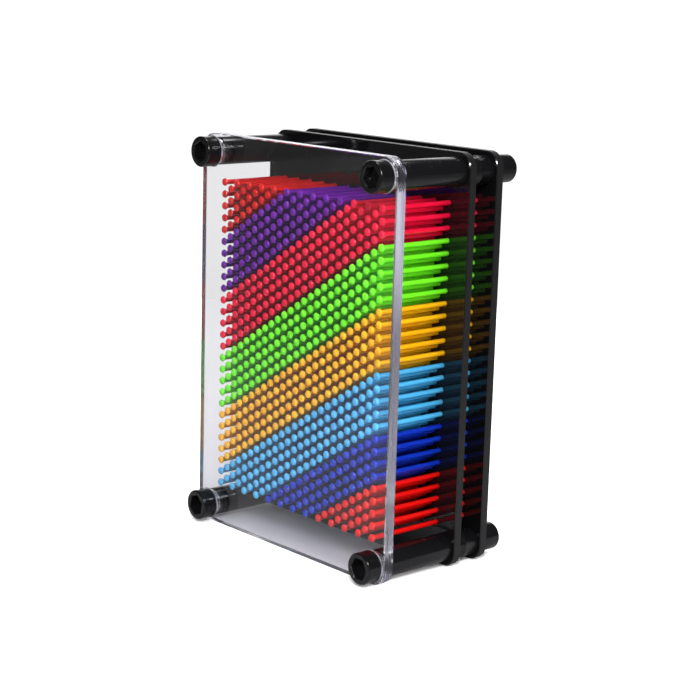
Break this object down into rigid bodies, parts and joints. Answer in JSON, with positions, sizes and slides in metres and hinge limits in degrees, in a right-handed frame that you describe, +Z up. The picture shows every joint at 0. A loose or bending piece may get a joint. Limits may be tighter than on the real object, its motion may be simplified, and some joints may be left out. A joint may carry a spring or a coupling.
{
  "type": "pin art impression toy",
  "caption": "Upright pin art board: staggered round-headed pins in diagonal colour stripes slide through two black plates behind a clear one.",
  "frame": {"origin": "under the middle of the toy, on the surface that the lower edges of its three plates stand on", "axes": "+X across the toy to the viewer's right, +Y from the clear front plate to the back, +Z up"},
  "size_m": [0.127, 0.0784, 0.178],
  "materials": {
    "clear_acrylic": "polished, clear, with bright sawn and polished edges",
    "black_acrylic": "polished faces, satin edges",
    "black_fittings": "moulded, glossy",
    "top_red_pins": "moulded, satin gloss",
    "purple_pins": "moulded, satin gloss",
    "crimson_pins": "moulded, satin gloss",
    "green_pins": "moulded, satin gloss",
    "orange_pins": "moulded, satin gloss",
    "light_blue_pins": "moulded, satin gloss",
    "dark_blue_pins": "moulded, satin gloss",
    "bottom_red_pins": "moulded, satin gloss"
  },
  "bodies": {
    "frame": {"clear_front_plate": "clear_acrylic", "front_grid_plate": "black_acrylic", "rear_grid_plate": "black_acrylic", "corner_screw_top_left": "black_fittings", "corner_screw_top_right": "black_fittings", "corner_screw_bottom_left": "black_fittings", "corner_screw_bottom_right": "black_fittings", "long_spacer_top_left": "black_fittings", "long_spacer_top_right": "black_fittings", "long_spacer_bottom_left": "black_fittings", "long_spacer_bottom_right": "black_fittings", "short_spacer_top_left": "black_fittings", "short_spacer_top_right": "black_fittings", "short_spacer_bottom_left": "black_fittings", "short_spacer_bottom_right": "black_fittings", "cap_nut_top_left": "black_fittings", "cap_nut_top_right": "black_fittings", "cap_nut_bottom_left": "black_fittings", "cap_nut_bottom_right": "black_fittings"},
    "top_red_pins_1": {"top_red_pins_1": "top_red_pins"},
    "top_red_pins_2": {"top_red_pins_2": "top_red_pins"},
    "top_red_pins_3": {"top_red_pins_3": "top_red_pins"},
    "top_red_pins_4": {"top_red_pins_4": "top_red_pins"},
    "top_red_pins_5": {"top_red_pins_5": "top_red_pins"},
    "purple_pins_1": {"purple_pins_1": "purple_pins"},
    "purple_pins_2": {"purple_pins_2": "purple_pins"},
    "purple_pins_3": {"purple_pins_3": "purple_pins"},
    "purple_pins_4": {"purple_pins_4": "purple_pins"},
    "purple_pins_5": {"purple_pins_5": "purple_pins"},
    "crimson_pins_1": {"crimson_pins_1": "crimson_pins"},
    "crimson_pins_2": {"crimson_pins_2": "crimson_pins"},
    "crimson_pins_3": {"crimson_pins_3": "crimson_pins"},
    "crimson_pins_4": {"crimson_pins_4": "crimson_pins"},
    "crimson_pins_5": {"crimson_pins_5": "crimson_pins"},
    "green_pins_1": {"green_pins_1": "green_pins"},
    "green_pins_2": {"green_pins_2": "green_pins"},
    "green_pins_3": {"green_pins_3": "green_pins"},
    "green_pins_4": {"green_pins_4": "green_pins"},
    "green_pins_5": {"green_pins_5": "green_pins"},
    "orange_pins_1": {"orange_pins_1": "orange_pins"},
    "orange_pins_2": {"orange_pins_2": "orange_pins"},
    "orange_pins_3": {"orange_pins_3": "orange_pins"},
    "orange_pins_4": {"orange_pins_4": "orange_pins"},
    "orange_pins_5": {"orange_pins_5": "orange_pins"},
    "light_blue_pins_1": {"light_blue_pins_1": "light_blue_pins"},
    "light_blue_pins_2": {"light_blue_pins_2": "light_blue_pins"},
    "light_blue_pins_3": {"light_blue_pins_3": "light_blue_pins"},
    "light_blue_pins_4": {"light_blue_pins_4": "light_blue_pins"},
    "light_blue_pins_5": {"light_blue_pins_5": "light_blue_pins"},
    "dark_blue_pins_1": {"dark_blue_pins_1": "dark_blue_pins"},
    "dark_blue_pins_2": {"dark_blue_pins_2": "dark_blue_pins"},
    "dark_blue_pins_3": {"dark_blue_pins_3": "dark_blue_pins"},
    "dark_blue_pins_4": {"dark_blue_pins_4": "dark_blue_pins"},
    "bottom_red_pins_1": {"bottom_red_pins_1": "bottom_red_pins"},
    "bottom_red_pins_2": {"bottom_red_pins_2": "bottom_red_pins"},
    "bottom_red_pins_3": {"bottom_red_pins_3": "bottom_red_pins"},
    "bottom_red_pins_4": {"bottom_red_pins_4": "bottom_red_pins"},
    "bottom_red_pins_5": {"bottom_red_pins_5": "bottom_red_pins"}
  },
  "joints": [
    {"name": "slide_top_red_pins_1", "type": "slide", "parent": "frame", "child": "top_red_pins_1", "axis": [0, 1, 0], "range_m": [0, 0.0335]},
    {"name": "slide_top_red_pins_2", "type": "slide", "parent": "frame", "child": "top_red_pins_2", "axis": [0, 1, 0], "range_m": [0, 0.0335]},
    {"name": "slide_top_red_pins_3", "type": "slide", "parent": "frame", "child": "top_red_pins_3", "axis": [0, 1, 0], "range_m": [0, 0.0335]},
    {"name": "slide_top_red_pins_4", "type": "slide", "parent": "frame", "child": "top_red_pins_4", "axis": [0, 1, 0], "range_m": [0, 0.0335]},
    {"name": "slide_top_red_pins_5", "type": "slide", "parent": "frame", "child": "top_red_pins_5", "axis": [0, 1, 0], "range_m": [0, 0.0335]},
    {"name": "slide_purple_pins_1", "type": "slide", "parent": "frame", "child": "purple_pins_1", "axis": [0, 1, 0], "range_m": [0, 0.0335]},
    {"name": "slide_purple_pins_2", "type": "slide", "parent": "frame", "child": "purple_pins_2", "axis": [0, 1, 0], "range_m": [0, 0.0335]},
    {"name": "slide_purple_pins_3", "type": "slide", "parent": "frame", "child": "purple_pins_3", "axis": [0, 1, 0], "range_m": [0, 0.0335]},
    {"name": "slide_purple_pins_4", "type": "slide", "parent": "frame", "child": "purple_pins_4", "axis": [0, 1, 0], "range_m": [0, 0.0335]},
    {"name": "slide_purple_pins_5", "type": "slide", "parent": "frame", "child": "purple_pins_5", "axis": [0, 1, 0], "range_m": [0, 0.0335]},
    {"name": "slide_crimson_pins_1", "type": "slide", "parent": "frame", "child": "crimson_pins_1", "axis": [0, 1, 0], "range_m": [0, 0.0335]},
    {"name": "slide_crimson_pins_2", "type": "slide", "parent": "frame", "child": "crimson_pins_2", "axis": [0, 1, 0], "range_m": [0, 0.0335]},
    {"name": "slide_crimson_pins_3", "type": "slide", "parent": "frame", "child": "crimson_pins_3", "axis": [0, 1, 0], "range_m": [0, 0.0335]},
    {"name": "slide_crimson_pins_4", "type": "slide", "parent": "frame", "child": "crimson_pins_4", "axis": [0, 1, 0], "range_m": [0, 0.0335]},
    {"name": "slide_crimson_pins_5", "type": "slide", "parent": "frame", "child": "crimson_pins_5", "axis": [0, 1, 0], "range_m": [0, 0.0335]},
    {"name": "slide_green_pins_1", "type": "slide", "parent": "frame", "child": "green_pins_1", "axis": [0, 1, 0], "range_m": [0, 0.0335]},
    {"name": "slide_green_pins_2", "type": "slide", "parent": "frame", "child": "green_pins_2", "axis": [0, 1, 0], "range_m": [0, 0.0335]},
    {"name": "slide_green_pins_3", "type": "slide", "parent": "frame", "child": "green_pins_3", "axis": [0, 1, 0], "range_m": [0, 0.0335]},
    {"name": "slide_green_pins_4", "type": "slide", "parent": "frame", "child": "green_pins_4", "axis": [0, 1, 0], "range_m": [0, 0.0335]},
    {"name": "slide_green_pins_5", "type": "slide", "parent": "frame", "child": "green_pins_5", "axis": [0, 1, 0], "range_m": [0, 0.0335]},
    {"name": "slide_orange_pins_1", "type": "slide", "parent": "frame", "child": "orange_pins_1", "axis": [0, 1, 0], "range_m": [0, 0.0335]},
    {"name": "slide_orange_pins_2", "type": "slide", "parent": "frame", "child": "orange_pins_2", "axis": [0, 1, 0], "range_m": [0, 0.0335]},
    {"name": "slide_orange_pins_3", "type": "slide", "parent": "frame", "child": "orange_pins_3", "axis": [0, 1, 0], "range_m": [0, 0.0335]},
    {"name": "slide_orange_pins_4", "type": "slide", "parent": "frame", "child": "orange_pins_4", "axis": [0, 1, 0], "range_m": [0, 0.0335]},
    {"name": "slide_orange_pins_5", "type": "slide", "parent": "frame", "child": "orange_pins_5", "axis": [0, 1, 0], "range_m": [0, 0.0335]},
    {"name": "slide_light_blue_pins_1", "type": "slide", "parent": "frame", "child": "light_blue_pins_1", "axis": [0, 1, 0], "range_m": [0, 0.0335]},
    {"name": "slide_light_blue_pins_2", "type": "slide", "parent": "frame", "child": "light_blue_pins_2", "axis": [0, 1, 0], "range_m": [0, 0.0335]},
    {"name": "slide_light_blue_pins_3", "type": "slide", "parent": "frame", "child": "light_blue_pins_3", "axis": [0, 1, 0], "range_m": [0, 0.0335]},
    {"name": "slide_light_blue_pins_4", "type": "slide", "parent": "frame", "child": "light_blue_pins_4", "axis": [0, 1, 0], "range_m": [0, 0.0335]},
    {"name": "slide_light_blue_pins_5", "type": "slide", "parent": "frame", "child": "light_blue_pins_5", "axis": [0, 1, 0], "range_m": [0, 0.0335]},
    {"name": "slide_dark_blue_pins_1", "type": "slide", "parent": "frame", "child": "dark_blue_pins_1", "axis": [0, 1, 0], "range_m": [0, 0.0335]},
    {"name": "slide_dark_blue_pins_2", "type": "slide", "parent": "frame", "child": "dark_blue_pins_2", "axis": [0, 1, 0], "range_m": [0, 0.0335]},
    {"name": "slide_dark_blue_pins_3", "type": "slide", "parent": "frame", "child": "dark_blue_pins_3", "axis": [0, 1, 0], "range_m": [0, 0.0335]},
    {"name": "slide_dark_blue_pins_4", "type": "slide", "parent": "frame", "child": "dark_blue_pins_4", "axis": [0, 1, 0], "range_m": [0, 0.0335]},
    {"name": "slide_bottom_red_pins_1", "type": "slide", "parent": "frame", "child": "bottom_red_pins_1", "axis": [0, 1, 0], "range_m": [0, 0.0335]},
    {"name": "slide_bottom_red_pins_2", "type": "slide", "parent": "frame", "child": "bottom_red_pins_2", "axis": [0, 1, 0], "range_m": [0, 0.0335]},
    {"name": "slide_bottom_red_pins_3", "type": "slide", "parent": "frame", "child": "bottom_red_pins_3", "axis": [0, 1, 0], "range_m": [0, 0.0335]},
    {"name": "slide_bottom_red_pins_4", "type": "slide", "parent": "frame", "child": "bottom_red_pins_4", "axis": [0, 1, 0], "range_m": [0, 0.0335]},
    {"name": "slide_bottom_red_pins_5", "type": "slide", "parent": "frame", "child": "bottom_red_pins_5", "axis": [0, 1, 0], "range_m": [0, 0.0335]}
  ]
}
